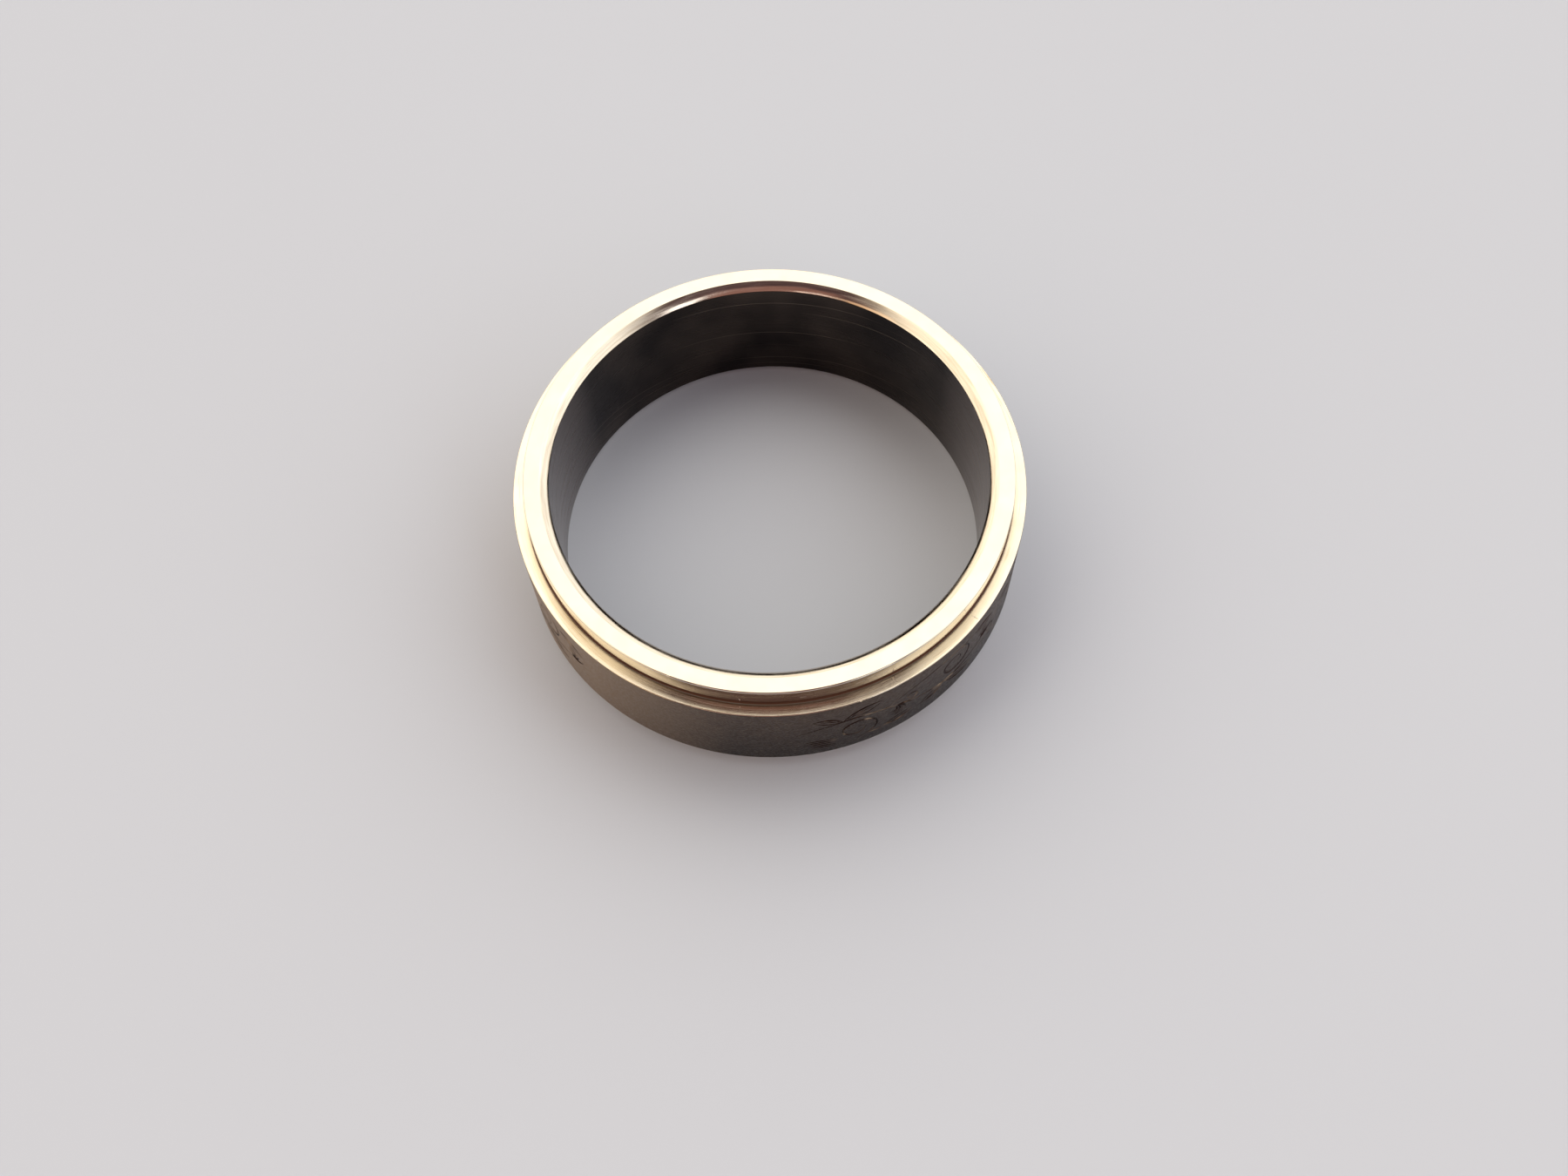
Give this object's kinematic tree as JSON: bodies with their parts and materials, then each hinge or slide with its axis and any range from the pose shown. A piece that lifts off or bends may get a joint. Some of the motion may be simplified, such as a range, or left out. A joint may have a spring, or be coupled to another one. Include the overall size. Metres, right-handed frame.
{
  "type": "spinner ring",
  "caption": "Finger ring of polished steel with a comfort-fit bore, whose satin outer band turns freely in a channel between the rims.",
  "frame": {"origin": "middle of the rim's face that the ring lies on, on the axis of the finger hole", "axes": "+Z along the axis of the finger hole, up as the ring lies; +X and +Y across the ring, which is round"},
  "size_m": [0.023, 0.023, 0.0068],
  "materials": {
    "polished_steel": "mirror polished, lightly scratched",
    "satin_steel": "satin side with fine engraved lines, turned end faces"
  },
  "bodies": {
    "core": {"inner_band": "polished_steel"},
    "spinner": {"spinner": "satin_steel"}
  },
  "joints": [
    {"name": "spinner_turn", "type": "hinge", "parent": "core", "child": "spinner", "pos_m": [0, 0, 0.00336], "axis": [0, 0, 1], "continuous": true}
  ]
}
